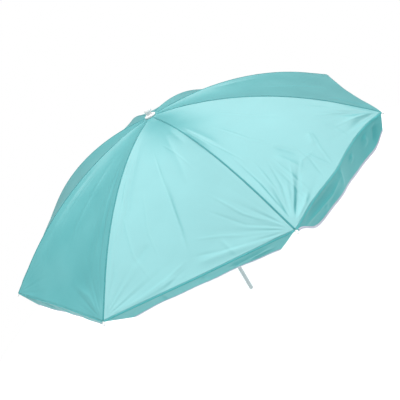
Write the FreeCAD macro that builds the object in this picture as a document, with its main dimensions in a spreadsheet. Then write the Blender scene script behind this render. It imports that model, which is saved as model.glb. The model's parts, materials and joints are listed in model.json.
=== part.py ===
"""Beach umbrella: the upper pole with its eight-rib frame, nylon canopy and hanging valance, open.

The pole stands along +Z, its lower end centred on the origin. Each rib lies in its own plane through
the pole. The ribs turn on a wire ring in the top notch, and the stretchers join them to the runner.
"""
import FreeCAD, Part
import math
import os
import Sketcher
from FreeCAD import Placement, Rotation, Vector

RIBS = 8

DIMENSIONS = {
    # pole
    "pole_radius": 9.5,
    "pole_bore": 8.4,
    "pole_length": 1002.8,
    "foot_length": 75,
    "foot_mark_height": 1.5,
    "foot_mark_depth": 0.3,
    # frame: the rib rod's centre line is an arc from its hinge, then a straight end
    "hinge_radius": 22,
    "hinge_height": 998,
    "first_rib_angle": 202.5,
    "rib_step": 45,
    "rod_radius": 2.25,
    "bend_radius": 1350,
    "start_slope": 1.5,
    "end_slope": 34.5,
    "elbow_slope": 18.5,
    "straight_end": 120,
    # blades and eyes, where rods are flattened to turn on a wire or pin
    "blade_length": 9,
    "rib_blade": 2.6,
    "rib_eye": 3,
    "blade_width": 5,
    "wire_radius": 0.9,
    "wire_hole": 1.2,
    "wire_channel": 0.95,
    "overrun": 1,
    # hubs
    "hub_radius": 27,
    "slot_floor": 17,
    "slot_width": 3.6,
    "hub_below": 6,
    "notch_above": 2.8,
    "collar_radius": 14,
    "collar_length": 16,
    # elbow clip
    "clip_length": 12,
    "clip_width": 7,
    "clip_depth": 10.5,
    "clip_bore": 2.26,
    "clip_slot": 3.2,
    "clip_roof": 2.5,
    "pin_drop": 6.5,
    "pin_radius": 1.2,
    "pin_length": 8.6,
    "pin_hole": 1.5,
    # stretcher
    "strut_radius": 2,
    "strut_blade": 2.4,
    "strut_eye": 3.5,
    # runner
    "runner_bore": 9.8,
    "runner_above": 6,
    "runner_length": 46,
    "grip_radius": 19,
    "grip_height": 7,
    # latch
    "latch_height": 793.2,
    "button_radius": 3.5,
    "button_base": 7.6,
    "button_reach": 12.5,
    "button_round": 1.2,
    "button_window": 3.9,
    "spring_leaf": 0.8,
    "spring_width": 5,
    "spring_drop": 42,
    "spring_rise": 6,
    # finial
    "flange_base": 1002.8,
    "flange_radius": 24,
    "flange_edge": 5,
    "flange_height": 9,
    "flange_top_radius": 17,
    "stem_radius": 8.3,
    "stem_depth": 22,
    "neck_radius": 11,
    "neck_height": 4,
    "knob_radius": 15.5,
    "knob_height": 27,
    "knob_widest_low": 5.4,
    "knob_widest_high": 13.5,
    "knob_shoulder_radius": 11.2,
    "knob_shoulder_drop": 2.7,
    "knob_crown_radius": 4.6,
    "knob_round": 3.1,
    # rib tip cap
    "tip_radius": 3,
    "tip_cover": 12,
    "tip_beyond": 5,
    # canopy
    "cloth_gap": 3.4,
    "cloth_thickness": 1,
    "cloth_inner": 8,
    "cloth_half_angle": 22.47,
    "valance_inset": 0.7,
    "valance_gap": 0.8,
    "valance_depth": 108,
    "valance_slit": 9,
    "valance_taper": 50,
    "valance_lean": 20,
    "front_valance_lean": 40,
}
FRONT_PANEL = 2
TOLERANCE = 0.01

doc = FreeCAD.newDocument("beach_umbrella")
sheet = doc.addObject("Spreadsheet::Sheet", "sheet")
for row, (alias, value) in enumerate(DIMENSIONS.items(), start=1):
    sheet.set(f"A{row}", alias)
    sheet.set(f"B{row}", str(value))
    sheet.setAlias(f"B{row}", alias)
doc.recompute()

nodes = []

# Expressions for places that several pieces share, all in one rib's plane (x outward, z up).
BEND_X = "(sheet.hinge_radius - sheet.bend_radius * sin(sheet.start_slope))"
BEND_Z = "(sheet.hinge_height - sheet.bend_radius * cos(sheet.start_slope))"
BEND_END_X = f"({BEND_X} + sheet.bend_radius * sin(sheet.end_slope))"
BEND_END_Z = f"({BEND_Z} + sheet.bend_radius * cos(sheet.end_slope))"
ELBOW_X = f"({BEND_X} + sheet.bend_radius * sin(sheet.elbow_slope))"
ELBOW_Z = f"({BEND_Z} + sheet.bend_radius * cos(sheet.elbow_slope))"
PIN_X = f"({BEND_X} + (sheet.bend_radius - sheet.pin_drop) * sin(sheet.elbow_slope))"
PIN_Z = f"({BEND_Z} + (sheet.bend_radius - sheet.pin_drop) * cos(sheet.elbow_slope))"
STRUT = f"(sqrt(({PIN_X} - sheet.hinge_radius)^2 + (sheet.hinge_height - {PIN_Z})^2))"
STRUT_TILT = f"(atan2({PIN_X} - sheet.hinge_radius; sheet.hinge_height - {PIN_Z}))"
RUNNER_Z = f"(2 * {PIN_Z} - sheet.hinge_height)"


def radians(alias):
    return math.radians(getattr(sheet, alias))


def bend_centre():
    """Centre of the rib's bend, as x and z in the rib's plane."""
    slope = radians("start_slope")
    x = sheet.hinge_radius - sheet.bend_radius * math.sin(slope)
    z = sheet.hinge_height - sheet.bend_radius * math.cos(slope)
    return x, z


def bind(item, **expressions):
    for name, expression in expressions.items():
        item.setExpression(name.replace("__", "."), expression)


def primitive(kind, name, axis=None, angle=None, base=(None, None, None), **sizes):
    """A Part primitive with its sizes, turn and base point bound to the sheet."""
    item = doc.addObject(f"Part::{kind}", name)
    bind(item, **sizes)
    if axis is not None:
        item.Placement = Placement(Vector(), Rotation(Vector(*axis), 1))
        bind(item, Placement__Rotation__Angle=angle)
    for letter, expression in zip("xyz", base):
        if expression is not None:
            item.setExpression(f"Placement.Base.{letter}", expression)
    return item


def joined(name, *shapes):
    item = doc.addObject("Part::MultiFuse", name)
    item.Shapes = list(shapes)
    return item


def cut(name, base, *tools):
    item = doc.addObject("Part::Cut", name)
    item.Base = base
    item.Tool = tools[0] if len(tools) == 1 else joined(f"{name}_tools", *tools)
    return item


def node(item, label):
    """Registers a finished sub-part under its own name."""
    item.Label = label
    nodes.append(item)
    return item


def turned(item, expression):
    """Turns a finished sub-part about the pole."""
    item.Placement = Placement(Vector(), Rotation(Vector(0, 0, 1), 1))
    bind(item, Placement__Rotation__Angle=expression)


def rib_angle(i):
    return f"sheet.first_rib_angle + {i - 1} * sheet.rib_step"


def panel_angle(i):
    return f"sheet.first_rib_angle + {i - 0.5} * sheet.rib_step"


def plane_of(body, role):
    return next(item for item in body.Origin.OriginFeatures if item.Role == role)


def outline(body, role, name, corners):
    """A closed sketch of straight runs on one of the body's own planes. Each corner is a pair of
    expressions, and None puts the corner on the vertical axis."""
    sketch = body.newObject("Sketcher::SketchObject", name)
    sketch.AttachmentSupport = [(plane_of(body, role), "")]
    sketch.MapMode = "FlatFace"
    size = len(corners)
    guesses = [[sheet_value(e) if e is not None else 0.0 for e in corner] for corner in corners]
    for k in range(size):
        start, end = guesses[k], guesses[(k + 1) % size]
        sketch.addGeometry(Part.LineSegment(Vector(*start, 0), Vector(*end, 0)), False)
    for k in range(size):
        sketch.addConstraint(Sketcher.Constraint("Coincident", k, 2, (k + 1) % size, 1))
    for k, (across, up) in enumerate(corners):
        if across is None:
            sketch.addConstraint(Sketcher.Constraint("PointOnObject", k, 1, -2))
        else:
            place_corner(sketch, "DistanceX", k, guesses[k][0], across)
        place_corner(sketch, "DistanceY", k, guesses[k][1], up)
    return sketch


def place_corner(sketch, kind, k, value, expression):
    index = sketch.addConstraint(Sketcher.Constraint(kind, -1, 1, k, 1, value))
    name = f"{kind}_{k}"
    sketch.renameConstraint(index, name)
    sketch.setExpression(f"Constraints.{name}", expression)


def sheet_value(expression):
    """The number an expression gives, as a first guess for a sketch."""
    value = sheet.evalExpression(expression.replace("sheet.", ""))
    return float(getattr(value, "Value", value))


def revolved(label, corners):
    """A body turned about the pole's axis from a half outline of (radius, height) corners."""
    body = doc.addObject("PartDesign::Body", label)
    sketch = outline(body, "XZ_Plane", f"{label}_outline", corners)
    turn = body.newObject("PartDesign::Revolution", f"{label}_turn")
    turn.Profile = sketch
    turn.ReferenceAxis = (sketch, ["V_Axis"])
    turn.Angle = 360
    return body


def slotted(body, label, wire_height):
    """Cuts the wire's channel and one blade slot for each rib into a hub."""
    doc.recompute()
    before = body.Shape.Volume
    ring = body.newObject("Sketcher::SketchObject", f"{label}_channel_outline")
    ring.AttachmentSupport = [(plane_of(body, "XZ_Plane"), "")]
    ring.MapMode = "FlatFace"
    centre = Vector(sheet.hinge_radius, sheet_value(wire_height), 0)
    ring.addGeometry(Part.Circle(centre, Vector(0, 0, 1), sheet.wire_channel), False)
    for kind, expression in (
        ("Radius", "sheet.wire_channel"),
        ("DistanceX", "sheet.hinge_radius"),
        ("DistanceY", wire_height),
    ):
        if kind == "Radius":
            rule = Sketcher.Constraint(kind, 0, sheet.wire_channel)
        else:
            value = centre.x if kind == "DistanceX" else centre.y
            rule = Sketcher.Constraint(kind, -1, 1, 0, 3, value)
        index = ring.addConstraint(rule)
        ring.renameConstraint(index, f"channel_{kind}")
        ring.setExpression(f"Constraints.channel_{kind}", expression)
    channel = body.newObject("PartDesign::Groove", f"{label}_channel")
    channel.Profile = ring
    channel.ReferenceAxis = (ring, ["V_Axis"])
    channel.Angle = 360
    half, inner, outer = "sheet.slot_width / 2", "sheet.slot_floor", "sheet.hub_radius + sheet.overrun"
    corners = [(inner, f"-{half}"), (outer, f"-{half}"), (outer, half), (inner, half)]
    sketch = outline(body, "XY_Plane", f"{label}_slot_outline", corners)
    slot = body.newObject("PartDesign::Pocket", f"{label}_slot")
    slot.Profile = sketch
    slot.Type = 1
    slot.Midplane = True
    pattern = body.newObject("PartDesign::PolarPattern", f"{label}_slots")
    pattern.Originals = [slot]
    pattern.Axis = (sketch, ["N_Axis"])
    pattern.Angle = 360
    pattern.Occurrences = RIBS
    body.Tip = pattern
    turned(body, "sheet.first_rib_angle")
    doc.recompute()
    span = sheet.hub_radius - sheet.slot_floor
    if body.Shape.Volume > before - RIBS * sheet.slot_width * span * sheet.hub_below:
        raise RuntimeError(f"{label}: the slots cut too little")
    return node(body, label)


def ring_wire(label, height):
    wire = primitive("Torus", label, Radius1="sheet.hinge_radius", Radius2="sheet.wire_radius")
    bind(wire, Placement__Base__z=height)
    return node(wire, label)


def crosswise(name, radius, length, x, z):
    """A cylinder across the rib's plane, centred on it."""
    return primitive(
        "Cylinder", name, axis=(1, 0, 0), angle="90", base=(x, f"({length}) / 2", z),
        Radius=radius, Height=length,
    )


# Pole, finial and top notch

def upper_pole():
    """A plain tube. A fine groove marks how far its foot goes into the lower pole, and a window lets
    the latch button out."""
    tube = primitive("Cylinder", "pole_outside", Radius="sheet.pole_radius", Height="sheet.pole_length")
    bore = primitive("Cylinder", "pole_inside", Radius="sheet.pole_bore", Height="sheet.pole_length")
    window = primitive(
        "Cylinder", "pole_window", axis=(1, 0, 0), angle="90", base=(None, None, "sheet.latch_height"),
        Radius="sheet.button_window", Height="2 * sheet.pole_radius",
    )
    band = primitive(
        "Cylinder", "pole_mark_band", base=(None, None, "sheet.foot_length"),
        Radius="sheet.pole_radius + sheet.overrun", Height="sheet.foot_mark_height",
    )
    core = primitive(
        "Cylinder", "pole_mark_core", base=(None, None, "sheet.foot_length"),
        Radius="sheet.pole_radius - sheet.foot_mark_depth", Height="sheet.foot_mark_height",
    )
    mark = cut("pole_mark", band, core)
    return node(cut("pole_tube", tube, bore, window, mark), "upper_pole")


def top_notch():
    top = "sheet.hinge_height + sheet.notch_above"
    below = "sheet.hinge_height - sheet.hub_below"
    foot = f"{below} - sheet.collar_length"
    corners = [
        ("sheet.pole_radius", foot), ("sheet.collar_radius", foot), ("sheet.collar_radius", below),
        ("sheet.hub_radius", below), ("sheet.hub_radius", top), ("sheet.pole_radius", top),
    ]
    return slotted(revolved("top_notch", corners), "top_notch", "sheet.hinge_height")


def finial_flange():
    base, hole = "sheet.flange_base", "sheet.pole_bore"
    corners = [
        (hole, base), ("sheet.flange_radius", base),
        ("sheet.flange_radius", f"{base} + sheet.flange_edge"),
        ("sheet.flange_top_radius", f"{base} + sheet.flange_height"),
        (hole, f"{base} + sheet.flange_height"),
    ]
    return node(revolved("finial_flange", corners), "finial_flange")


def finial_knob():
    seat = "(sheet.flange_base + sheet.flange_height)"
    foot = "sheet.flange_base - sheet.stem_depth"
    waist = f"{seat} + sheet.neck_height"
    top = f"{seat} + sheet.knob_height"
    corners = [
        (None, foot), ("sheet.stem_radius", foot), ("sheet.stem_radius", seat),
        ("sheet.neck_radius", seat), ("sheet.neck_radius", waist),
        ("sheet.knob_radius", f"{waist} + sheet.knob_widest_low"),
        ("sheet.knob_radius", f"{waist} + sheet.knob_widest_high"),
        ("sheet.knob_shoulder_radius", f"{top} - sheet.knob_shoulder_drop"),
        ("sheet.knob_crown_radius", top), (None, top),
    ]
    body = revolved("finial_knob", corners)
    doc.recompute()
    turn = body.Tip
    rim = [
        f"Edge{k}" for k, edge in enumerate(turn.Shape.Edges, start=1)
        if edge.Curve.TypeId == "Part::GeomCircle"
        and edge.BoundBox.ZMin > sheet_value(waist) + TOLERANCE
        and edge.Curve.Radius > sheet.knob_crown_radius + TOLERANCE
    ]
    fillet = body.newObject("PartDesign::Fillet", "finial_knob_round")
    fillet.Base = (turn, rim)
    bind(fillet, Radius="sheet.knob_round")
    body.Tip = fillet
    return node(body, "finial_knob")


# Runner and latch

def runner():
    crown_top = f"{RUNNER_Z} + sheet.runner_above"
    crown_foot = f"{RUNNER_Z} - sheet.hub_below"
    foot = f"{RUNNER_Z} - sheet.runner_length"
    grip = f"{foot} + sheet.grip_height"
    corners = [
        ("sheet.runner_bore", foot), ("sheet.grip_radius", foot), ("sheet.grip_radius", grip),
        ("sheet.collar_radius", grip), ("sheet.collar_radius", crown_foot),
        ("sheet.hub_radius", crown_foot), ("sheet.hub_radius", crown_top),
        ("sheet.runner_bore", crown_top),
    ]
    return slotted(revolved("runner", corners), "runner", RUNNER_Z)


def latch_button():
    post = primitive(
        "Cylinder", "latch_post", axis=(1, 0, 0), angle="90",
        base=(None, "-sheet.button_base", "sheet.latch_height"),
        Radius="sheet.button_radius", Height="sheet.button_reach - sheet.button_base",
    )
    doc.recompute()
    reach = -sheet.button_reach
    face = next(
        k for k, edge in enumerate(post.Shape.Edges, start=1)
        if edge.Curve.TypeId == "Part::GeomCircle" and abs(edge.BoundBox.YMin - reach) < TOLERANCE
        and edge.BoundBox.YLength < TOLERANCE
    )
    rounded = doc.addObject("Part::Fillet", "latch_round")
    rounded.Base = post
    rounded.Edges = [(face, sheet.button_round, sheet.button_round)]
    return node(rounded, "latch_button")


def latch_spring():
    """A U of flat spring inside the tube: its front leaf carries the button."""
    body = doc.addObject("PartDesign::Body", "latch_spring")
    top = "sheet.latch_height + sheet.spring_rise"
    foot = "sheet.latch_height - sheet.spring_drop"
    out, leaf = "sheet.button_base", "sheet.spring_leaf"
    corners = [
        (f"-{out}", top), (f"-{out}", foot), (out, foot), (out, top),
        (f"{out} - {leaf}", top), (f"{out} - {leaf}", f"{foot} + {leaf}"),
        (f"-{out} + {leaf}", f"{foot} + {leaf}"), (f"-{out} + {leaf}", top),
    ]
    sketch = outline(body, "YZ_Plane", "latch_spring_outline", corners)
    pad = body.newObject("PartDesign::Pad", "latch_spring_pad")
    pad.Profile = sketch
    pad.Midplane = True
    bind(pad, Length="sheet.spring_width")
    return node(body, "latch_spring")


# Ribs, tips, clips and stretchers

def rib(i):
    name = f"rib_{i}"
    bend = doc.addObject("Part::Torus", f"{name}_bend")
    bind(
        bend, Radius1="sheet.bend_radius", Radius2="sheet.rod_radius",
        Angle3="sheet.end_slope - sheet.start_slope - sheet.blade_length / sheet.bend_radius * 180 / pi",
    )
    upright = Rotation(Vector(1, 0, 0), 90)
    from_level = Rotation(Vector(0, 0, 1), 90 - sheet.end_slope)
    bend.Placement = Placement(Vector(), upright.multiply(from_level))
    bind(bend, Placement__Base__x=BEND_X, Placement__Base__z=BEND_Z)
    straight = primitive(
        "Cylinder", f"{name}_straight", axis=(0, 1, 0), angle="90 + sheet.end_slope",
        base=(BEND_END_X, None, BEND_END_Z), Radius="sheet.rod_radius", Height="sheet.straight_end",
    )
    blade = primitive(
        "Box", f"{name}_blade", axis=(0, 1, 0), angle="sheet.start_slope",
        base=("sheet.hinge_radius", "-sheet.rib_blade / 2", "sheet.hinge_height - sheet.blade_width / 2"),
        Length="sheet.blade_length + sheet.overrun", Width="sheet.rib_blade", Height="sheet.blade_width",
    )
    eye = crosswise(f"{name}_eye", "sheet.rib_eye", "sheet.rib_blade", "sheet.hinge_radius",
                    "sheet.hinge_height")
    hole = crosswise(f"{name}_hole", "sheet.wire_hole", "sheet.rib_blade + sheet.overrun",
                     "sheet.hinge_radius", "sheet.hinge_height")
    item = cut(f"{name}_rod", joined(f"{name}_whole", bend, straight, blade, eye), hole)
    turned(item, rib_angle(i))
    return node(item, name)


def rib_tip(i):
    """A cap over the rod's end, with a ball at its point."""
    name = f"rib_tip_{i}"
    along_x, along_z = "cos(sheet.end_slope)", "-sin(sheet.end_slope)"
    start = "(sheet.straight_end - sheet.tip_cover)"
    end = "(sheet.straight_end + sheet.tip_beyond)"
    sleeve = primitive(
        "Cylinder", f"{name}_sleeve", axis=(0, 1, 0), angle="90 + sheet.end_slope",
        base=(f"{BEND_END_X} + {start} * {along_x}", None, f"{BEND_END_Z} + {start} * {along_z}"),
        Radius="sheet.tip_radius", Height="sheet.tip_cover + sheet.tip_beyond",
    )
    ball = primitive(
        "Sphere", f"{name}_ball", Radius="sheet.tip_radius",
        base=(f"{BEND_END_X} + {end} * {along_x}", None, f"{BEND_END_Z} + {end} * {along_z}"),
    )
    socket = primitive(
        "Cylinder", f"{name}_socket", axis=(0, 1, 0), angle="90 + sheet.end_slope",
        base=(BEND_END_X, None, BEND_END_Z), Radius="sheet.rod_radius", Height="sheet.straight_end",
    )
    item = cut(f"{name}_cap", joined(f"{name}_whole", sleeve, ball), socket)
    turned(item, rib_angle(i))
    return node(item, name)


def rib_clip(i):
    """The elbow bracket: a block under the rod with a slot for the stretcher's blade and a pin."""
    name = f"rib_clip_{i}"
    tilt = "sheet.elbow_slope"
    # the block's corner, from the elbow point on the rod's centre line, back along it and down
    back_x = f"{ELBOW_X} - sheet.clip_length / 2 * cos({tilt}) - sheet.clip_depth * sin({tilt})"
    back_z = f"{ELBOW_Z} + sheet.clip_length / 2 * sin({tilt}) - sheet.clip_depth * cos({tilt})"
    block = primitive(
        "Box", f"{name}_block", axis=(0, 1, 0), angle=tilt, base=(back_x, "-sheet.clip_width / 2", back_z),
        Length="sheet.clip_length", Width="sheet.clip_width", Height="sheet.clip_depth",
    )
    slot = primitive(
        "Box", f"{name}_slot", axis=(0, 1, 0), angle=tilt, base=(back_x, "-sheet.clip_slot / 2", back_z),
        Length="sheet.clip_length", Width="sheet.clip_slot", Height="sheet.clip_depth - sheet.clip_roof",
    )
    seat = primitive(
        "Cylinder", f"{name}_seat", axis=(0, 1, 0), angle=f"90 + {tilt}",
        base=(f"{ELBOW_X} - sheet.clip_length * cos({tilt})", None,
              f"{ELBOW_Z} + sheet.clip_length * sin({tilt})"),
        Radius="sheet.clip_bore", Height="2 * sheet.clip_length",
    )
    pin = crosswise(f"{name}_pin", "sheet.pin_radius", "sheet.pin_length", PIN_X, PIN_Z)
    item = joined(f"{name}_bracket", cut(f"{name}_cheeks", block, slot, seat), pin)
    turned(item, rib_angle(i))
    return node(item, name)


def stretcher(i):
    """A strut from the elbow pin down to the runner's wire, modelled along z and then laid over."""
    name = f"stretcher_{i}"
    reach = "(sheet.blade_length + sheet.overrun)"
    rod = primitive(
        "Cylinder", f"{name}_rod", base=(None, None, reach),
        Radius="sheet.strut_radius", Height=f"{STRUT} - 2 * {reach}",
    )
    pieces = [rod]
    holes = []
    for end, height, low, hole in (
        ("upper", "0", "0", "sheet.pin_hole"),
        ("lower", STRUT, f"{STRUT} - {reach} - sheet.overrun", "sheet.wire_hole"),
    ):
        pieces.append(primitive(
            "Box", f"{name}_{end}_blade",
            base=("-sheet.blade_width / 2", "-sheet.strut_blade / 2", low),
            Length="sheet.blade_width", Width="sheet.strut_blade", Height=f"{reach} + sheet.overrun",
        ))
        pieces.append(crosswise(f"{name}_{end}_eye", "sheet.strut_eye", "sheet.strut_blade", "0", height))
        holes.append(crosswise(f"{name}_{end}_hole", hole, "sheet.strut_blade + sheet.overrun", "0", height))
    laid = cut(f"{name}_strut", joined(f"{name}_whole", *pieces), *holes)
    laid.Placement = Placement(Vector(), Rotation(Vector(0, 1, 0), 1))
    bind(laid, Placement__Base__x=PIN_X, Placement__Base__z=PIN_Z)
    bind(laid, Placement__Rotation__Angle=f"{STRUT_TILT} - 180 deg")
    item = doc.addObject("Part::Compound", f"{name}_placed")
    item.Links = [laid]
    turned(item, rib_angle(i))
    return node(item, name)


# Canopy

def canopy_section(turn):
    """The cloth's thickness in one plane through the pole, as a closed wire."""
    centre_x, centre_z = bend_centre()
    start, end = radians("start_slope"), radians("end_slope")
    middle = (start + end) / 2

    def on_bend(radius, slope):
        return Vector(centre_x + radius * math.sin(slope), 0, centre_z + radius * math.cos(slope))

    under = sheet.bend_radius + sheet.cloth_gap
    over = under + sheet.cloth_thickness
    inward = Vector(-math.cos(start), 0, math.sin(start)) * sheet.cloth_inner
    outward = Vector(math.cos(end), 0, -math.sin(end)) * sheet.straight_end
    low = [on_bend(under, start), on_bend(under, middle), on_bend(under, end)]
    high = [on_bend(over, start), on_bend(over, middle), on_bend(over, end)]
    edges = [
        Part.makeLine(low[0] + inward, low[0]),
        Part.Arc(*low).toShape(),
        Part.makeLine(low[2], low[2] + outward),
        Part.makeLine(low[2] + outward, high[2] + outward),
        Part.makeLine(high[2] + outward, high[2]),
        Part.Arc(*reversed(high)).toShape(),
        Part.makeLine(high[0], high[0] + inward),
        Part.makeLine(high[0] + inward, low[0] + inward),
    ]
    wire = Part.Wire(edges)
    wire.rotate(Vector(), Vector(0, 0, 1), turn)
    return wire


def canopy_panel(i):
    """One gore, ruled between the planes of its two ribs."""
    name = f"canopy_panel_{i}"
    sections = []
    for side, sign in (("near", -1), ("far", 1)):
        section = doc.addObject("Part::Feature", f"{name}_{side}")
        section.Shape = canopy_section(sign * sheet.cloth_half_angle)
        sections.append(section)
    item = doc.addObject("Part::Loft", f"{name}_gore")
    item.Sections = sections
    item.Solid = True
    item.Ruled = True
    turned(item, panel_angle(i))
    return node(item, name)


def valance_panel(i):
    """The skirt that hangs from one gore's edge and leans in, narrower at its hem, clear of both tips."""
    name = f"valance_{i}"
    lean = "sheet.front_valance_lean" if i == FRONT_PANEL else "sheet.valance_lean"
    edge_x = f"({BEND_END_X} + sheet.straight_end * cos(sheet.end_slope)) * cos(sheet.rib_step / 2)"
    edge_z = f"{BEND_END_Z} - sheet.straight_end * sin(sheet.end_slope)"
    top = f"({edge_x} * tan(sheet.rib_step / 2) - sheet.valance_slit)"
    hem = f"({top} - sheet.valance_taper)"
    body = doc.addObject("PartDesign::Body", f"{name}_skirt")
    corners = [
        (f"-{top}", "0"), (f"-{hem}", "-sheet.valance_depth"), (hem, "-sheet.valance_depth"), (top, "0"),
    ]
    pad = body.newObject("PartDesign::Pad", f"{name}_pad")
    pad.Profile = outline(body, "YZ_Plane", f"{name}_outline", corners)
    pad.Midplane = True
    bind(pad, Length="sheet.cloth_thickness")
    body.Placement = Placement(Vector(), Rotation(Vector(0, 1, 0), 1))
    bind(
        body, Placement__Rotation__Angle=lean, Placement__Base__x=f"{edge_x} + sheet.valance_inset",
        Placement__Base__z=f"{edge_z} + sheet.cloth_gap * cos(sheet.end_slope) - sheet.valance_gap",
    )
    hung = doc.addObject("Part::Compound", f"{name}_hung")
    hung.Links = [body]
    turned(hung, panel_angle(i))
    return node(hung, name)


upper_pole()
top_notch()
ring_wire("notch_wire", "sheet.hinge_height")
finial_flange()
finial_knob()
runner()
ring_wire("runner_wire", RUNNER_Z)
latch_button()
latch_spring()
for number in range(1, RIBS + 1):
    rib(number)
    rib_tip(number)
    rib_clip(number)
    stretcher(number)
    canopy_panel(number)
    valance_panel(number)

doc.recompute()
for item in doc.Objects:
    if "Invalid" in item.State or "Error" in item.State:
        raise RuntimeError(f"{item.Label} failed: {item.State}")
for item in nodes:
    if item.Shape.isNull() or not item.Shape.isValid():
        raise RuntimeError(f"{item.Label} has no valid shape")

os.makedirs("parts", exist_ok=True)
for item in nodes:
    item.Shape.exportStep(f"parts/{item.Label}.step")
    box = item.Shape.BoundBox
    print(f"{item.Label}: {item.Shape.Volume:.0f} mm3, z {box.ZMin:.1f} to {box.ZMax:.1f}")
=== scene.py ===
"""Looks of the beach umbrella: a domed nylon canopy of eight gores, each with a skirt that hangs from
its edge, sewn over the ribs. All lengths are in metres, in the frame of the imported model."""

import json
import math

import bpy
import numpy as np
from mathutils import Matrix, Vector


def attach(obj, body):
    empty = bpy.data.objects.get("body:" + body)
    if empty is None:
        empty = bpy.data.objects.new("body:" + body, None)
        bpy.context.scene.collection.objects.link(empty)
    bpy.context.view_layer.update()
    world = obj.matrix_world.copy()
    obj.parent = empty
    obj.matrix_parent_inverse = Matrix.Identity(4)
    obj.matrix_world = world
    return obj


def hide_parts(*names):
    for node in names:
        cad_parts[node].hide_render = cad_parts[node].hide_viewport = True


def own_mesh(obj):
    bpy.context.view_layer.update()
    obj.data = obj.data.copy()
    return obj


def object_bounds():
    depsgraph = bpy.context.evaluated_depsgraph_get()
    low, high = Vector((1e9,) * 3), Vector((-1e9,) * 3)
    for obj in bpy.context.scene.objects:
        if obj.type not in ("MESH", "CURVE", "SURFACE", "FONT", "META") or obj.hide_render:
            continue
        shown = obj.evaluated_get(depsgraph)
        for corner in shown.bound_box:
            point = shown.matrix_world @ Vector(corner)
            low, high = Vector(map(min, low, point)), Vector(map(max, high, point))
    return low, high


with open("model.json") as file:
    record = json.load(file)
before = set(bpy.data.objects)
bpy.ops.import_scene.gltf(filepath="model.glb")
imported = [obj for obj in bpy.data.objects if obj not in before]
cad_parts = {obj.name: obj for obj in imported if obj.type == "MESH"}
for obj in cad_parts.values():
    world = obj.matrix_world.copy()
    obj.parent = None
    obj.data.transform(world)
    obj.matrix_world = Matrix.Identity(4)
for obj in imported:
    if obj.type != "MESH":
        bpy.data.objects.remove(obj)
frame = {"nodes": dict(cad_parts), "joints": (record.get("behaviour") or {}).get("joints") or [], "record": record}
cad_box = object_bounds()

RIBS = 8
STEP = 2 * math.pi / RIBS
HALF = STEP / 2
JOINTS = {joint["name"]: joint for joint in frame["joints"]}

# The rib's line: an arc from its hinge, then a straight end.
HINGE = Vector(JOINTS["rib_1_fold"]["pos_m"])
HINGE_RADIUS = math.hypot(HINGE.x, HINGE.y)
FIRST_RIB = math.atan2(HINGE.y, HINGE.x)
BEND_RADIUS = 1.35
START_SLOPE = math.radians(1.5)
END_SLOPE = math.radians(34.5)
STRAIGHT_END = 0.12
TIP_GAP = 0.006
BEND_LENGTH = BEND_RADIUS * (END_SLOPE - START_SLOPE)
BEND_CENTRE_R = HINGE_RADIUS - BEND_RADIUS * math.sin(START_SLOPE)
BEND_CENTRE_Z = HINGE.z - BEND_RADIUS * math.cos(START_SLOPE)

# The cloth. It rises above the rib's line, starts inside the hinges and ends short of the rib tips.
CLOTH_RISE = 0.0038
CLOTH_THICKNESS = 0.0004
CLOTH_LENGTH = BEND_LENGTH + STRAIGHT_END - TIP_GAP
INNER_REACH = 0.006
SAG = 0.013
SAG_FULLNESS = 0.8
FASTENED_ACROSS = (0.93, 1)
FASTENED_ALONG = (0.02, 0.08)
SKIRT_DEPTH = 0.108
FOLD_ROUND = 0.0035
SLIT = 0.006
SLIT_START = 0.01
SKIRT_SWAY = 0.05
FIRST_DRAWN_REACH = 0.2
SECOND_DRAWN_REACH = 0.12
HEM_FLATNESS = 0.85
GORE_COLUMNS = 160
GORE_ROWS = 240
SKIRT_ROWS = 34
ROWS_NEAR_FOLD = 1.15

# Small unevenness of the cloth: heights and reaches in metres, and how often it comes in a metre or,
# for the pulls that fan out of a rib tip, in a radian.
BROAD_WAVE = {"height": 0.0008, "across": 17, "along": 9}
FINE_WAVE = {"height": 0.0004, "across": 31, "slant": 12, "along": 21}
BROAD_HEM_WAVE = {"height": 0.0014, "across": 19}
FINE_HEM_WAVE = {"height": 0.0008, "across": 47}
SLACK_FRONT = (2, 3)
SLACK_PULL = 0.0026
TAUT_PULL = 0.0016
PULL_START = (0.01, 0.06)
PULL_REACH = 0.1
BROAD_PULLS = 13
FINE_PULLS = 21
FINE_PULL_SHARE = 0.7
CREASE_START = 0.3
CREASE_END = 0.6
CREASE_SHARPNESS = 1.5

# Each skirt: how many degrees it swings in under the canopy, its taper in metres at either end of the
# hem, the share by which the hem's corners are drawn up, and how far the fold above it bows in, as
# points from -1 at the first rib to 1 at the second.
SKIRT = {
    "lean": 20, "taper": (0.05, 0.05), "drawn": (0.1, 0.1),
    "bow": [(-1, 0), (-0.5, 0.013), (0, 0.018), (0.5, 0.014), (1, 0)],
}
SKIRTS = {
    1: {"lean": 20, "taper": (0.05, 0.07), "drawn": (0.2, 0.8), "bow": [(-1, 0), (0, 0.004), (1, 0)]},
    2: {"lean": 42, "taper": (0.058, 0.062), "drawn": (0, 0), "bow": [(-1, 0), (0, -0.002), (1, 0)]},
    3: {
        "lean": 13, "taper": (0.03, 0.012), "drawn": (0.85, 0.3),
        "bow": [(-1, 0), (-0.6, 0.01), (-0.1, 0.006), (0.2, 0.018), (0.5, 0.022), (0.75, 0.016), (1, 0)],
    },
}

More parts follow.
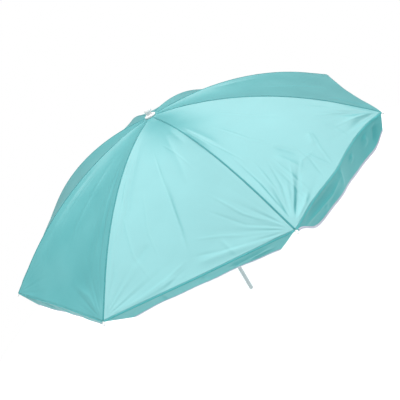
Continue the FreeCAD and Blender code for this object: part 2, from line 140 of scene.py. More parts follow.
# Creases of each gore. A line runs through points (across, along): across is -1 at the gore's first
# rib and 1 at its second, along is 0 at the notch and 1 at the fold. Then its width and its height,
# in metres, where a valley is negative.
CREASES = {
    1: [
        ([(-0.1, 0.2), (-0.12, 0.55), (-0.1, 0.8)], 0.012, 0.0012),
        ([(-0.75, 0.25), (-0.8, 0.7), (-0.86, 0.92)], 0.016, 0.0022),
        ([(0.72, 0.25), (0.78, 0.6), (0.86, 0.9)], 0.014, -0.0012),
        ([(0.98, 0.99), (0.7, 0.93), (0.3, 0.9)], 0.014, 0.0022),
        ([(0.45, 0.15), (0.5, 0.5), (0.52, 0.95)], 0.004, -0.0006),
        ([(0.62, 0.2), (0.68, 0.6), (0.72, 1.0)], 0.004, 0.0007),
        ([(0.86, 0.2), (0.87, 0.6), (0.9, 1.0)], 0.004, 0.0008),
        ([(-0.55, 0.3), (-0.6, 0.7), (-0.62, 1.0)], 0.004, 0.0005),
    ],
    2: [
        ([(0.03, 0.5), (0.01, 0.75), (0.0, 0.91)], 0.008, -0.0016),
        ([(-0.6, 0.15), (-0.7, 0.45), (-0.73, 0.6), (-0.89, 0.84)], 0.013, -0.0022),
        ([(-0.82, 0.3), (-0.86, 0.62), (-0.95, 0.88)], 0.012, 0.0016),
        ([(-0.41, 0.79), (-0.64, 0.86)], 0.012, -0.0016),
        ([(0.36, 0.9), (0.44, 1.0)], 0.007, 0.0012),
        ([(0.55, 0.2), (0.42, 0.5), (0.34, 0.66)], 0.014, 0.0014),
        ([(0.75, 0.22), (0.8, 0.42)], 0.012, 0.0016),
        ([(-0.05, 0.95), (-0.38, 1.0)], 0.006, -0.0014),
        ([(0.0, 0.955), (0.35, 0.965), (0.8, 0.985)], 0.014, 0.0025),
        ([(-0.05, 0.96), (-0.5, 0.985), (-0.95, 0.995)], 0.012, 0.002),
        ([(-0.86, 0.2), (-0.87, 0.6), (-0.9, 1.0)], 0.004, -0.0011),
        ([(-0.9, 0.35), (-0.8, 0.62), (-0.62, 0.82), (-0.4, 0.97)], 0.004, 0.0009),
        ([(-0.1, 0.3), (0.0, 0.6), (0.02, 0.8), (0.0, 0.93)], 0.0035, -0.0011),
        ([(0.0, 0.92), (-0.28, 0.96), (-0.7, 0.99)], 0.004, 0.0012),
        ([(0.0, 0.92), (0.3, 0.95), (0.7, 0.98)], 0.004, -0.0011),
        ([(0.1, 0.86), (0.4, 0.9), (0.66, 0.95)], 0.0035, 0.0009),
        ([(0.5, 0.7), (0.72, 0.86), (0.94, 0.97)], 0.0035, 0.001),
        ([(0.35, 0.76), (0.66, 0.9), (0.94, 0.98)], 0.0035, -0.0009),
        ([(-0.45, 0.5), (-0.4, 0.75), (-0.3, 0.9)], 0.0035, 0.0006),
        ([(0.2, 0.3), (0.45, 0.42), (0.6, 0.6)], 0.0035, 0.0006),
    ],
    3: [
        ([(-0.08, 0.82), (-0.08, 1.0)], 0.005, 0.0015),
        ([(-0.4, 0.74), (-0.55, 1.0)], 0.005, 0.0014),
        ([(-0.5, 0.78), (-0.65, 1.0)], 0.005, -0.0012),
        ([(-0.97, 0.985), (-0.72, 0.945), (-0.45, 0.89), (-0.2, 0.85)], 0.009, -0.0026),
        ([(-0.97, 0.985), (-0.8, 0.93), (-0.55, 0.85)], 0.008, 0.0026),
        ([(-0.97, 0.98), (-0.85, 0.9), (-0.7, 0.8)], 0.007, -0.0018),
        ([(-0.98, 0.98), (-0.92, 0.86), (-0.85, 0.72)], 0.01, 0.0026),
        ([(-0.96, 0.99), (-0.7, 0.975), (-0.52, 0.95)], 0.011, 0.0045),
        ([(0.97, 0.985), (0.78, 0.93), (0.5, 0.88)], 0.011, 0.0035),
        ([(0.97, 0.985), (0.85, 0.9), (0.7, 0.82)], 0.01, -0.003),
        ([(0.97, 0.985), (0.9, 0.87), (0.84, 0.75)], 0.01, 0.0022),
        ([(0.97, 0.99), (0.78, 0.955), (0.55, 0.93)], 0.011, -0.004),
        ([(-0.35, 0.75), (-0.3, 0.9)], 0.014, 0.003),
        ([(-0.2, 0.72), (-0.12, 0.86)], 0.012, -0.0025),
        ([(0.1, 0.86), (0.3, 0.8)], 0.012, 0.0025),
        ([(-0.9, 0.3), (-0.86, 0.55)], 0.014, -0.002),
        ([(-0.78, 0.3), (-0.72, 0.6)], 0.014, 0.002),
        ([(-0.95, 0.97), (-0.78, 0.85), (-0.6, 0.68)], 0.0035, 0.0014),
        ([(-0.95, 0.97), (-0.7, 0.87), (-0.42, 0.72)], 0.0035, -0.0014),
        ([(-0.95, 0.98), (-0.6, 0.9), (-0.2, 0.8)], 0.0035, 0.0013),
        ([(-0.95, 0.97), (-0.86, 0.8), (-0.78, 0.6)], 0.0035, -0.0013),
        ([(-0.5, 0.9), (-0.2, 0.86), (0.1, 0.88)], 0.0035, 0.0012),
        ([(-0.3, 0.99), (-0.12, 0.88), (0.0, 0.76)], 0.0035, -0.0012),
        ([(-0.1, 0.99), (0.12, 0.88), (0.35, 0.8)], 0.0035, 0.0011),
        ([(0.95, 0.97), (0.8, 0.86), (0.58, 0.75)], 0.0035, 0.0013),
        ([(0.95, 0.98), (0.7, 0.92), (0.35, 0.86)], 0.0035, -0.0012),
        ([(0.95, 0.97), (0.87, 0.82), (0.8, 0.66)], 0.0035, -0.0012),
        ([(0.4, 0.98), (0.52, 0.88), (0.6, 0.78)], 0.0035, 0.001),
        ([(-0.85, 0.25), (-0.8, 0.5), (-0.7, 0.72)], 0.0035, -0.0009),
        ([(0.3, 0.35), (0.36, 0.55), (0.5, 0.7)], 0.0035, 0.0006),
        ([(-0.3, 0.4), (-0.25, 0.62), (-0.1, 0.78)], 0.0035, 0.0007),
    ],
}
OTHER_CREASES = [
    ([(0.0, 0.5), (0.01, 0.75), (0.0, 0.93)], 0.009, -0.0016),
    ([(-0.97, 0.985), (-0.75, 0.9), (-0.6, 0.8)], 0.016, -0.003),
    ([(0.97, 0.985), (0.78, 0.91), (0.6, 0.84)], 0.016, 0.003),
    ([(0.7, 0.3), (0.78, 0.65)], 0.014, -0.0016),
]

# Creases of each skirt, where along is 0 at the fold and 1 at the hem.
SKIRT_CREASES = {
    2: [
        ([(-0.38, 0.0), (-0.5, 0.9)], 0.01, -0.005),
        ([(0.05, 0.0), (0.08, 1.0)], 0.008, 0.003),
        ([(0.3, 0.5), (0.55, 0.35), (0.85, 0.3)], 0.012, 0.006),
        ([(0.55, 0.75), (0.9, 0.6)], 0.01, -0.005),
        ([(0.4, 0.2), (0.45, 1.0)], 0.01, 0.004),
    ],
    3: [
        ([(-0.95, 0.3), (-0.6, 0.5), (-0.3, 0.55), (0.0, 0.3)], 0.008, 0.008),
        ([(-0.9, 0.1), (-0.5, 0.25), (-0.1, 0.15)], 0.012, -0.003),
        ([(-0.8, 0.9), (-0.4, 0.85), (0.0, 0.6)], 0.012, -0.003),
        ([(-0.08, 0.0), (0.0, 1.0)], 0.01, 0.006),
        ([(-0.45, 0.6), (-0.4, 1.0)], 0.01, 0.006),
        ([(0.25, 0.25), (0.3, 0.6)], 0.012, 0.006),
        ([(0.6, 0.2), (0.65, 0.7)], 0.014, 0.007),
        ([(0.85, 0.1), (0.8, 0.9)], 0.016, -0.008),
    ],
}
OTHER_SKIRT_CREASES = [
    ([(0.0, 0.0), (0.02, 1.0)], 0.01, 0.004),
    ([(-0.5, 0.1), (-0.45, 0.9)], 0.018, -0.006),
    ([(0.5, 0.2), (0.55, 1.0)], 0.018, 0.006),
]

# The felled seams and their turned-in margins, and the hem's binding.
SEAM_WIDTH = 0.006
SEAM_RISE = 0.0008
SEAM_SLUMP = 0.2
SEAM_STATIONS = 240
SEAM_START = 0.012
SEAM_END_GAP = 0.003
MARGIN = 0.022
MARGIN_COLUMNS = 5
MARGIN_SHARE = 0.45
MARGIN_DROP = 0.0007
BINDING_HEIGHT = 0.0105
BINDING_THICKNESS = 0.0011
BINDING_STEP = 0.002


def panel_azimuth(i):
    """Direction of gore i's middle about the pole."""
    return FIRST_RIB + (i - 0.5) * STEP


def smooth(value, low, high):
    """0 below low, 1 above high and an even rise between."""
    share = np.clip((value - low) / (high - low), 0, 1)
    return share * share * (3 - 2 * share)


def rib_line(along):
    """Distance from the pole's axis, height and slope of the cloth over a rib."""
    slope = START_SLOPE + np.clip(along, 0, BEND_LENGTH) / BEND_RADIUS
    run = np.where(along < 0, along, np.maximum(along - BEND_LENGTH, 0))
    radius = BEND_CENTRE_R + (BEND_RADIUS + CLOTH_RISE) * np.sin(slope) + run * np.cos(slope)
    height = BEND_CENTRE_Z + (BEND_RADIUS + CLOTH_RISE) * np.cos(slope) - run * np.sin(slope)
    return radius, height, slope


def line_relief(lines, across, along, half_width, length):
    """Height of the creases at each point of a flat cloth. The points' places are in metres."""
    relief = np.zeros_like(along)
    for points, width, height in lines:
        places = [(p[0] * half_width(p[1] * length), p[1] * length) for p in points]
        nearest = np.full_like(along, 1e9)
        share = np.zeros_like(along)
        total = len(places) - 1
        for k in range(total):
            (x0, y0), (x1, y1) = places[k], places[k + 1]
            dx, dy = x1 - x0, y1 - y0
            part = np.clip(((across - x0) * dx + (along - y0) * dy) / (dx * dx + dy * dy), 0, 1)
            distance = np.hypot(across - x0 - part * dx, along - y0 - part * dy)
            closer = distance < nearest
            nearest = np.where(closer, distance, nearest)
            share = np.where(closer, (k + part) / total, share)
        fade = smooth(share, 0, CREASE_START) * (1 - smooth(share, CREASE_END, 1))
        relief += height * fade * np.exp(-((nearest / width) ** CREASE_SHARPNESS))
    return relief


def tip_fans(i, across, along, half_width):
    """Fine pulls that fan out of both rib tips, stronger by the slack front gores."""
    relief = np.zeros_like(along)
    for side in (-1, 1):
        tip = side * half_width(CLOTH_LENGTH)
        dx, dy = (tip - across) * side, CLOTH_LENGTH - along
        distance = np.hypot(dx, dy)
        angle = np.arctan2(dx, dy + 1e-6)
        seed = 1.7 * i + 0.9 * side
        broad = np.abs(np.sin(angle * BROAD_PULLS + seed))
        fine = np.abs(np.sin(angle * FINE_PULLS + 2 * seed))
        strength = SLACK_PULL if i in SLACK_FRONT else TAUT_PULL
        fade = smooth(distance, *PULL_START) * np.exp(-distance / PULL_REACH)
        relief += strength * (broad + FINE_PULL_SHARE * fine) * fade
    return relief


def soft_waves(i, across, along):
    """Slow unevenness of stretched nylon."""
    broad = np.sin(across * BROAD_WAVE["across"] + 2.1 * i) * np.sin(along * BROAD_WAVE["along"] + 0.7 * i)
    slanted = across * FINE_WAVE["across"] - along * FINE_WAVE["slant"]
    fine = np.sin(slanted + i) * np.sin(along * FINE_WAVE["along"] + 1.3 * i)
    return BROAD_WAVE["height"] * broad + FINE_WAVE["height"] * fine


def gore_width(along):
    """Half of a gore's width at each place along it."""
    return rib_line(np.asarray(along, float))[0] * math.sin(HALF)


def skirt_style(i, key):
    """Skirt i's own value, or the plain one."""
    return SKIRTS.get(i, {}).get(key, SKIRT[key])


def fold_place(i, t):
    """How far along the cloth its fold lies."""
    places, bows = zip(*skirt_style(i, "bow"))
    shifts = np.linspace(-0.1, 0.1, 9)
    eased = np.mean([np.interp(t + shift, places, bows) for shift in shifts], axis=0)
    return CLOTH_LENGTH - eased * (1 - np.abs(t) ** 12)


def gore_points(i, t, along):
    """Points of gore i in its own frame: x outward through the gore's middle, z up."""
    radius, height, slope = rib_line(along)
    x = radius * math.cos(HALF)
    y = t * radius * math.sin(HALF)
    course = np.sin(math.pi * np.clip(along / CLOTH_LENGTH, 0, 1))
    belly = SAG * course ** SAG_FULLNESS * (1 - t * t)
    lines = CREASES.get(i, OTHER_CREASES)
    relief = line_relief(lines, y, along, gore_width, CLOTH_LENGTH)
    relief += tip_fans(i, y, along, gore_width) + soft_waves(i, y, along)
    fastened = (1 - smooth(np.abs(t), *FASTENED_ACROSS)) * smooth(along, *FASTENED_ALONG)
    lift = relief * fastened - belly
    return np.stack([x + lift * np.sin(slope), y, height + lift * np.cos(slope)], axis=-1), relief


def hem_depth(i, t):
    """Depth of the skirt at each place across, less where its corners are drawn up, and more where
    the fold bows in, so that the hem stays straight."""
    first, second = skirt_style(i, "drawn")
    near_first = np.exp(-(((t + 1) / FIRST_DRAWN_REACH) ** 2))
    near_second = np.exp(-(((t - 1) / SECOND_DRAWN_REACH) ** 2))
    drawn_up = SKIRT_DEPTH * (1 - first * near_first - second * near_second)
    return drawn_up + CLOTH_LENGTH - fold_place(i, t)


def skirt_points(i, t, down):
    """Points of skirt i, in its gore's frame, down metres below the fold."""
    place = fold_place(i, t)
    start, _ = gore_points(i, t, place)
    _, _, slope = rib_line(place)
    lean = math.radians(skirt_style(i, "lean"))
    sway = SKIRT_SWAY * np.sin(2.3 * t + i)
    turn = math.pi / 2 + lean + sway - slope
    bend = np.clip(down / (FOLD_ROUND * turn), 0, 1) * turn
    rest = np.maximum(down - FOLD_ROUND * turn, 0)
    out = FOLD_ROUND * (np.sin(slope + bend) - np.sin(slope)) + rest * np.cos(slope + bend)
    fall = FOLD_ROUND * (np.cos(slope + bend) - np.cos(slope)) - rest * np.sin(slope + bend)
    share = down / SKIRT_DEPTH
    first, second = skirt_style(i, "taper")
    taper = np.where(t < 0, first, second)
    width = gore_width(CLOTH_LENGTH)
    half = width - SLIT * smooth(down, 0, SLIT_START) - taper * share
    y = t * half
    lines = SKIRT_CREASES.get(i, OTHER_SKIRT_CREASES)
    relief = line_relief(lines, t * width, down, lambda along: width, SKIRT_DEPTH)
    broad = BROAD_HEM_WAVE["height"] * np.sin(BROAD_HEM_WAVE["across"] * y + i)
    fine = FINE_HEM_WAVE["height"] * np.sin(FINE_HEM_WAVE["across"] * y + 3 * i)
    relief = relief * (1 - HEM_FLATNESS * share ** 3) + (broad + fine) * share
    lift = relief * smooth(down, 0.002, 0.02)
    x = start[..., 0] + out + lift * np.sin(slope + bend)
    z = start[..., 2] + fall + lift * np.cos(slope + bend)
    return np.stack([x, y, z], axis=-1), relief


def to_row(i, points):
    """Turns points from gore i's frame into the model's."""
    angle = panel_azimuth(i)
    x = points[..., 0] * math.cos(angle) - points[..., 1] * math.sin(angle)
    y = points[..., 0] * math.sin(angle) + points[..., 1] * math.cos(angle)
    return np.stack([x, y, points[..., 2]], axis=-1)


def grid_object(name, points, uv, material, relief=None, ring=False):
    """A mesh over a grid of points, with its flat places in metres as UVs."""
    rows, columns = points.shape[:2]
    index = np.arange(rows * columns).reshape(rows, columns)
    if ring:
        index = np.concatenate([index, index[:, :1]], axis=1)
    faces = np.stack([index[:-1, :-1], index[:-1, 1:], index[1:, 1:], index[1:, :-1]], axis=-1)
    mesh = bpy.data.meshes.new(name)
    mesh.from_pydata(points.reshape(-1, 3).tolist(), [], faces.reshape(-1, 4).tolist())
    corners = np.zeros(len(mesh.loops), np.int32)
    mesh.loops.foreach_get("vertex_index", corners)
    layer = mesh.uv_layers.new(name="UVMap")
    layer.data.foreach_set("uv", uv.reshape(-1, 2)[corners].astype(np.float32).ravel())
    # The relief goes into the crease attribute, which the nylon turns into painted light on ridges and painted
    # shade in valleys.
    if relief is not None:
        attribute = mesh.attributes.new("crease", "FLOAT", "POINT")
        attribute.data.foreach_set("value", relief.astype(np.float32).ravel())
    mesh.polygons.foreach_set("use_smooth", [True] * len(mesh.polygons))
    mesh.materials.append(material)
    mesh.update()
    piece = bpy.data.objects.new(name, mesh)
    bpy.context.scene.collection.objects.link(piece)
    return piece


def thicken(piece):
    """Gives the cloth its thickness and returns the area of one side."""
    area = sum(face.area for face in piece.data.polygons)
    solid = piece.modifiers.new("thickness", "SOLIDIFY")
    solid.thickness = CLOTH_THICKNESS
    solid.offset = 0
    return area


def pleats(piece):
    """Gives the piece its own copy of its mesh."""
    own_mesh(piece)


# Materials


def node_of(tree, kind, inputs=None, **settings):
    """A new node, with its settings and with its inputs linked or set."""
    node = tree.nodes.new(kind)
    for name, value in settings.items():
        setattr(node, name, value)
    for name, value in (inputs or {}).items():
        if isinstance(value, bpy.types.NodeSocket):
            tree.links.new(value, node.inputs[name])
        else:
            node.inputs[name].default_value = value
    return node


def shader_material(name, **sockets):
    """A material with its uniform values on the shader's own sockets."""
    material = bpy.data.materials.new(name)
    material.use_nodes = True
    tree = material.node_tree
    shader = tree.nodes["Principled BSDF"]
    for key, value in sockets.items():
        shader.inputs[key.replace("_", " ")].default_value = value
    return material, tree, shader


def maths(tree, operation, first, second=0.0):
    """The result of one maths node."""
    return node_of(tree, "ShaderNodeMath", {0: first, 1: second}, operation=operation).outputs[0]


def tint(tree, factor, first, second):
    """A colour between two, by a factor."""
    mix = node_of(tree, "ShaderNodeMix", {"Factor": factor}, data_type="RGBA")
    for socket, colour in ((mix.inputs[6], first), (mix.inputs[7], second)):
        if isinstance(colour, bpy.types.NodeSocket):
            tree.links.new(colour, socket)
        else:
            socket.default_value = (*colour, 1)
    return mix.outputs[2]


def spread(tree, value, low, high, to_low, to_high):
    """A value carried from one range to another, and held within it."""
    inputs = {"Value": value, "From Min": low, "From Max": high, "To Min": to_low, "To Max": to_high}
    return node_of(tree, "ShaderNodeMapRange", inputs).outputs[0]


def bump(tree, shader, layers):
    """Stacks bump layers, each of a height, a depth in metres and a strength."""
    normal = None
    for height, distance, strength in layers:
        inputs = {"Height": height, "Distance": distance, "Strength": strength}
        if normal is not None:
            inputs["Normal"] = normal
        normal = node_of(tree, "ShaderNodeBump", inputs).outputs[0]
    tree.links.new(normal, shader.inputs["Normal"])


def weave(tree, pitch):
    """Plain weave: warp and weft cross over and under, from the cloth's flat places."""
    uv = node_of(tree, "ShaderNodeUVMap", uv_map="UVMap").outputs[0]
    parts = node_of(tree, "ShaderNodeSeparateXYZ", {0: uv}).outputs
    warp = maths(tree, "SINE", maths(tree, "MULTIPLY", parts[0], 2 * math.pi / pitch))
    weft = maths(tree, "SINE", maths(tree, "MULTIPLY", parts[1], 2 * math.pi / pitch))
    return uv, maths(tree, "MULTIPLY", warp, weft)


def nylon(name, dark, light, roughness, gloss):
    """Thin coated nylon taffeta: a plain weave with slubs and clouding, with painted light on the ridges of its
    relief and painted shade in its valleys, from the crease attribute.
    """
    material, tree, shader = shader_material(
        name, Sheen_Weight=0.05, Sheen_Roughness=0.4, Specular_IOR_Level=gloss, IOR=1.6,
    )
    uv, threads = weave(tree, 0.0007)
    cloud = node_of(tree, "ShaderNodeTexNoise", {"Vector": uv, "Scale": 5.0, "Detail": 4.0}).outputs[0]
    slub = node_of(tree, "ShaderNodeTexNoise", {"Vector": uv, "Scale": 700.0, "Detail": 1.0}).outputs[0]
    # Painted light and shade: the crease attribute is the cloth's relief height, so ridges of creases, pulls and
    # waves are painted lighter and valleys painted darker.
    crease = node_of(tree, "ShaderNodeAttribute", attribute_name="crease").outputs["Fac"]
    shade = maths(tree, "ADD", spread(tree, cloud, 0.3, 0.7, 0.15, 0.65), spread(
        tree, crease, -0.004, 0.004, -0.35, 0.35))
    shade = maths(tree, "ADD", shade, spread(tree, threads, -1, 1, -0.06, 0.06))
    tree.links.new(tint(tree, shade, dark, light), shader.inputs["Base Color"])
    tree.links.new(
        spread(tree, cloud, 0.2, 0.8, roughness - 0.05, roughness + 0.06), shader.inputs["Roughness"])
    bump(tree, shader, [(slub, 0.00003, 0.2), (threads, 0.00004, 0.15)])
    return material


def stitched(name, dark, light, roughness, thread, rows, pitch=0.003):
    """Folded cloth tape, sewn down with rows of running stitch at the given places across it."""
    material, tree, shader = shader_material(name, Sheen_Weight=0.2, Specular_IOR_Level=0.4)
    uv, threads = weave(tree, 0.0009)
    parts = node_of(tree, "ShaderNodeSeparateXYZ", {0: uv}).outputs
    dash = spread(
        tree, maths(tree, "SINE", maths(tree, "MULTIPLY", parts[1], 2 * math.pi / pitch)), -0.2, 0.2, 0, 1)
    line = None
    for place in rows:
        off = maths(tree, "ABSOLUTE", maths(tree, "SUBTRACT", parts[0], place))
        near = spread(tree, off, 0.0002, 0.0006, 1, 0)
        line = near if line is None else maths(tree, "MAXIMUM", line, near)
    stitch = maths(tree, "MULTIPLY", line, dash)
    cloud = node_of(tree, "ShaderNodeTexNoise", {"Vector": uv, "Scale": 60.0, "Detail": 4.0}).outputs[0]
    base = tint(tree, spread(tree, cloud, 0.3, 0.7, 0.0, 1.0), dark, light)
    tree.links.new(tint(tree, stitch, base, thread), shader.inputs["Base Color"])
    tree.links.new(
        spread(tree, cloud, 0.3, 0.7, roughness - 0.05, roughness + 0.05), shader.inputs["Roughness"])
    pucker = maths(tree, "MULTIPLY", line, -0.6)
    bump(tree, shader, [
        (cloud, 0.0008, 0.4), (pucker, 0.0006, 0.7), (stitch, 0.0004, 0.8), (threads, 0.00005, 0.5)])
    return material


def moulded(name, dark, light, roughness, grain, **sockets):
    """Moulded plastic or enamel: faint clouding, a fine grain, and scuffs that dull it."""
    material, tree, shader = shader_material(name, **sockets)
    place = node_of(tree, "ShaderNodeTexCoord").outputs["Object"]
    cloud = node_of(tree, "ShaderNodeTexNoise", {"Vector": place, "Scale": 30.0, "Detail": 5.0}).outputs[0]
    fine = node_of(tree, "ShaderNodeTexNoise", {"Vector": place, "Scale": grain, "Detail": 3.0}).outputs[0]
    stretch = node_of(tree, "ShaderNodeMapping", {"Vector": place, "Scale": (260, 260, 14)}).outputs[0]
    scuff = node_of(tree, "ShaderNodeTexNoise", {"Vector": stretch, "Scale": 1.0, "Detail": 2.0}).outputs[0]
    worn = spread(tree, scuff, 0.62, 0.72, 0, 1)
    shade = maths(tree, "SUBTRACT", spread(tree, cloud, 0.3, 0.7, 0.3, 1.0), maths(
        tree, "MULTIPLY", worn, 0.3))
    tree.links.new(tint(tree, shade, dark, light), shader.inputs["Base Color"])
    rough = maths(tree, "ADD", spread(tree, cloud, 0.3, 0.7, roughness - 0.04, roughness + 0.05), maths(
        tree, "MULTIPLY", worn, 0.15))
    tree.links.new(rough, shader.inputs["Roughness"])
    bump(tree, shader, [(fine, 0.0002, 0.35), (worn, 0.00005, 0.4)])
    return material


NYLON = nylon("nylon_aqua", (0.08, 0.40, 0.42), (0.13, 0.48, 0.50), roughness=0.3, gloss=1.0)
# Painted light: the skirts are the same nylon as the gores, but this copy of it is painted lighter and given less
# gloss.
SKIRT_NYLON_PAINTED_LIGHTER = nylon(
    "nylon_aqua_skirt_painted_lighter", (0.1, 0.5, 0.52), (0.14, 0.6, 0.62), roughness=0.5, gloss=0.15)
# Painted shade: the felled seam is painted darker than the nylon it is sewn from, for the shade along it; its
# stitch rows are real.
SEAM = stitched(
    "seam_aqua_painted_shade", (0.02, 0.25, 0.27), (0.04, 0.31, 0.33), roughness=0.5, thread=(0.1, 0.5, 0.52),
    rows=(-0.0019, 0.0019))
BINDING = stitched(
    "binding_white", (0.62, 0.65, 0.79), (0.72, 0.75, 0.87), roughness=0.6, thread=(0.82, 0.83, 0.92),
    rows=(0.0085,))
ENAMEL = moulded(
    "pole_enamel", (0.56, 0.63, 0.65), (0.66, 0.73, 0.75), roughness=0.25, grain=900.0, Coat_Weight=0.4,
    Coat_Roughness=0.12)
WHITE_PLASTIC = moulded(
    "white_plastic", (0.93, 0.93, 0.93), (0.98, 0.98, 0.98), roughness=0.5, grain=1400.0)
HUB_PLASTIC = moulded(
    "hub_plastic", (0.78, 0.78, 0.77), (0.88, 0.88, 0.87), roughness=0.45, grain=1600.0)
LATCH_METAL = moulded(
    "latch_metal", (0.6, 0.6, 0.62), (0.8, 0.8, 0.82), roughness=0.2, grain=2500.0, Metallic=1.0)
FRAME_STEEL = moulded(
    "frame_steel", (0.74, 0.75, 0.77), (0.86, 0.87, 0.88), roughness=0.34, grain=1800.0, Metallic=0.25)
CLIP_METAL = moulded(
    "clip_metal", (0.7, 0.71, 0.73), (0.84, 0.85, 0.86), roughness=0.38, grain=2200.0, Metallic=0.4)

FINISHES = {
    "pole_enamel": ENAMEL,
    "white_plastic": WHITE_PLASTIC,
    "hub_plastic": HUB_PLASTIC,
    "latch_metal": LATCH_METAL,
    "clip_metal": CLIP_METAL,
    "frame_steel": FRAME_STEEL,
}


def finish_frame():
    """Gives each hard part of the CAD frame its finish."""
    for part in frame["record"]["subparts"]:
        if part["material_slot"] in FINISHES:
            mesh = frame["nodes"][part["node"]].data
            mesh.materials.clear()
            mesh.materials.append(FINISHES[part["material_slot"]])


# Pieces


def gore(i):
    """One gore of the canopy, between ribs i and i + 1."""
    across = np.linspace(-1, 1, GORE_COLUMNS + 1)
    share = np.linspace(0, 1, GORE_ROWS + 1)
    t = np.broadcast_to(across, (len(share), len(across)))
    along = -INNER_REACH + share[:, None] * (fold_place(i, across) + INNER_REACH)
    points, relief = gore_points(i, t, along)
    uv = np.stack([points[..., 1], along], axis=-1)
    piece = grid_object(f"canopy_gore_{i}", to_row(i, points), uv, NYLON, relief)
    area = thicken(piece)
    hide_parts(f"canopy_panel_{i}")
    pleats(piece)
    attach(piece, f"panel_{i}")


def skirt(i):
    """The skirt that hangs from gore i's fold, with its hem bound."""
    across = np.linspace(-1, 1, GORE_COLUMNS + 1)
    share = np.linspace(0, 1, SKIRT_ROWS + 1) ** ROWS_NEAR_FOLD
    t = np.broadcast_to(across, (len(share), len(across)))
    down = share[:, None] * hem_depth(i, across)
    points, relief = skirt_points(i, t, down)
    uv = np.stack([points[..., 1], CLOTH_LENGTH + down], axis=-1)
    # The skirt's nylon is painted lighter than the gores'.
    piece = grid_object(f"canopy_skirt_{i}", to_row(i, points), uv, SKIRT_NYLON_PAINTED_LIGHTER, relief)
    area = thicken(piece)
    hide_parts(f"valance_{i}")
    tape = binding(i, across)
    pleats(piece)
    pleats(tape)
    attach(piece, f"valance_{i}")
    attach(tape, f"valance_{i}")


def binding(i, across):
    """Bias tape folded over the skirt's hem."""
    deep, thick = BINDING_HEIGHT, BINDING_THICKNESS
    section = [
        (-deep, 0.35), (-deep * 0.9, 0.8), (-deep * 0.5, 1.0), (-deep * 0.1, 0.95), (0.0008, 0.6),
        (0.0014, 0.0), (0.0008, -0.6), (-deep * 0.1, -0.95), (-deep * 0.5, -1.0), (-deep * 0.9, -0.8),
        (-deep, -0.35),
    ]
    t = across[1:-1]
    hem = hem_depth(i, t)
    rows = []
    for drop, side in section:
        here, _ = skirt_points(i, t, hem + drop)
        below, _ = skirt_points(i, t, hem + drop + BINDING_STEP)
        beside = np.gradient(here, axis=0)
        normal = np.cross(beside, below - here)
        normal /= np.linalg.norm(normal, axis=1, keepdims=True)
        rows.append(here - normal * side * thick)
    points = np.stack(rows, axis=1)
    hem_line = points[:, len(section) // 2]
    run = np.concatenate([[0], np.cumsum(np.linalg.norm(np.diff(hem_line, axis=0), axis=1))])
    places = np.array([abs(drop) for drop, _ in section])
    uv = np.stack(np.broadcast_arrays(places[None, :], run[:, None]), axis=-1)
    tape = grid_object(f"hem_binding_{i}", to_row(i, points), uv, BINDING, ring=True)
    return tape


def turned_in(i, side, along):
    """The margin of cloth turned in beside rib i, under the gore at that side of it."""
    under = i if side > 0 else (i - 2) % RIBS + 1
    away = np.linspace(SEAM_WIDTH / 2, MARGIN, MARGIN_COLUMNS)
    half = gore_width(along)[:, None]
    reach = away / MARGIN * np.minimum(MARGIN, MARGIN_SHARE * half)
    run = np.broadcast_to(along[:, None], reach.shape)
    points, _ = gore_points(under, side * (reach / half - 1), run)
    slope = rib_line(run)[2]
    points[..., 0] -= MARGIN_DROP * np.sin(slope)
    points[..., 2] -= MARGIN_DROP * np.cos(slope)
    return to_row(under, points), side * away


def seam(i):
    """The felled seam over rib i, where two gores are sewn together and laid flat, with its margins."""
    along = np.linspace(SEAM_START, CLOTH_LENGTH - SEAM_END_GAP, SEAM_STATIONS)
    radius, height, slope = rib_line(along)
    section = np.array([-1, -0.75, -0.3, 0.3, 0.75, 1])
    rise = np.array([-0.6, 0.75, 1, 1, 0.75, -0.6]) * SEAM_RISE
    angle = FIRST_RIB + (i - 1) * STEP
    side = section * SEAM_WIDTH / 2
    out = radius[:, None] + rise * np.sin(slope)[:, None]
    slump = np.abs(side) * math.sin(HALF) * SEAM_SLUMP
    up = height[:, None] + rise * np.cos(slope)[:, None] - slump
    x = out * math.cos(angle) - side * math.sin(angle)
    y = out * math.sin(angle) + side * math.cos(angle)
    before, before_side = turned_in(i, -1, along)
    after, after_side = turned_in(i, 1, along)
    points = np.concatenate([before[:, ::-1], np.stack([x, y, up], axis=-1), after], axis=1)
    places = np.concatenate([before_side[::-1], side, after_side])
    uv = np.stack(np.broadcast_arrays(places[None, :], along[:, None]), axis=-1)
    piece = grid_object(f"seam_{i}", points, uv, SEAM)
    piece.data.materials.append(NYLON)
    column = np.arange(len(piece.data.polygons)) % (len(places) - 1)
    margin = (column < MARGIN_COLUMNS) | (column >= len(places) - 1 - MARGIN_COLUMNS)
    piece.data.polygons.foreach_set("material_index", margin.astype(np.int32))
    thicken(piece)
    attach(piece, f"rib_{i}")


# Studio

# The overhead light: its direction, and the cosines between which it grows from dim to full.
OVERHEAD = Vector((0.25, 0.1, 0.96)).normalized()
OVERHEAD_EDGE = (0.55, 0.8)
OVERHEAD_STRENGTH = (0.25, 2.5)
SOFTBOX_DIRECTION = Vector((-0.85, -0.5, 0.7)).normalized()
SOFTBOX_DISTANCE = 3.4
SOFTBOX_SIZE = 2.6
SOFTBOX_ENERGY = 22
SOFTBOX_AIM = Vector((0, 0, 0.85))
FLOOR_RADIUS = 1.7
FLOOR_DROP = 0.001
CAMERA_PLACE = (0.32658, -2.00241, 1.48215)
CAMERA_TOWARDS = Vector((-0.14625, 0.89827, -0.41441))
CAMERA_ROLL = math.radians(-30.46)
CAMERA_LENS = 44.32


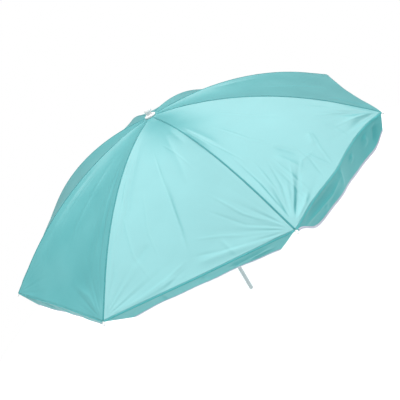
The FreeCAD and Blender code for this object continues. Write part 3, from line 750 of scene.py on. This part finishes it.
def studio():
    """A white floor under the umbrella and soft light from above and from all round."""
    bpy.ops.mesh.primitive_circle_add(
        vertices=96, radius=FLOOR_RADIUS, fill_type="NGON", location=(0, 0, cad_box[0].z - FLOOR_DROP))
    floor = bpy.context.object
    floor.name = "studio_floor"
    material, _, _ = shader_material(
        "floor_white", Base_Color=(0.4, 0.4, 0.4, 1), Roughness=0.9, Emission_Color=(1, 1, 1, 1),
        Emission_Strength=0.9,
    )
    floor.data.materials.append(material)
    world = bpy.data.worlds.new("studio")
    bpy.context.scene.world = world
    world.use_nodes = True
    tree = world.node_tree
    background = tree.nodes["Background"]
    direction = node_of(tree, "ShaderNodeTexCoord").outputs["Generated"]
    towards = node_of(
        tree, "ShaderNodeVectorMath", {0: direction, 1: OVERHEAD}, operation="DOT_PRODUCT"
    ).outputs["Value"]
    glow = spread(tree, towards, *OVERHEAD_EDGE, *OVERHEAD_STRENGTH)
    seen = node_of(tree, "ShaderNodeLightPath").outputs["Is Camera Ray"]
    tree.links.new(maths(tree, "MAXIMUM", glow, seen), background.inputs["Strength"])
    background.inputs["Color"].default_value = (1, 1, 1, 1)
    lamp = bpy.data.lights.new("softbox", "AREA")
    lamp.shape = "DISK"
    lamp.size = SOFTBOX_SIZE
    lamp.energy = SOFTBOX_ENERGY
    key = bpy.data.objects.new("softbox", lamp)
    key.location = SOFTBOX_AIM + SOFTBOX_DIRECTION * SOFTBOX_DISTANCE
    key.rotation_euler = SOFTBOX_DIRECTION.to_track_quat("Z", "Y").to_euler()
    bpy.context.scene.collection.objects.link(key)


def camera():
    """The camera stands a little right of the front, above the canopy, looks down and is rolled."""
    data = bpy.data.cameras.new("camera")
    data.lens = CAMERA_LENS
    data.sensor_width = 36
    view = bpy.data.objects.new("camera", data)
    turn = CAMERA_TOWARDS.to_track_quat("-Z", "Y").to_matrix()
    roll = Matrix.Rotation(CAMERA_ROLL, 3, "Z")
    view.matrix_world = Matrix.Translation(CAMERA_PLACE) @ (turn @ roll).to_4x4()
    bpy.context.scene.collection.objects.link(view)
    bpy.context.scene.camera = view


bpy.context.scene.view_settings.view_transform = "Standard"
camera()
studio()
finish_frame()
for number in range(1, RIBS + 1):
    gore(number)
    skirt(number)
    seam(number)
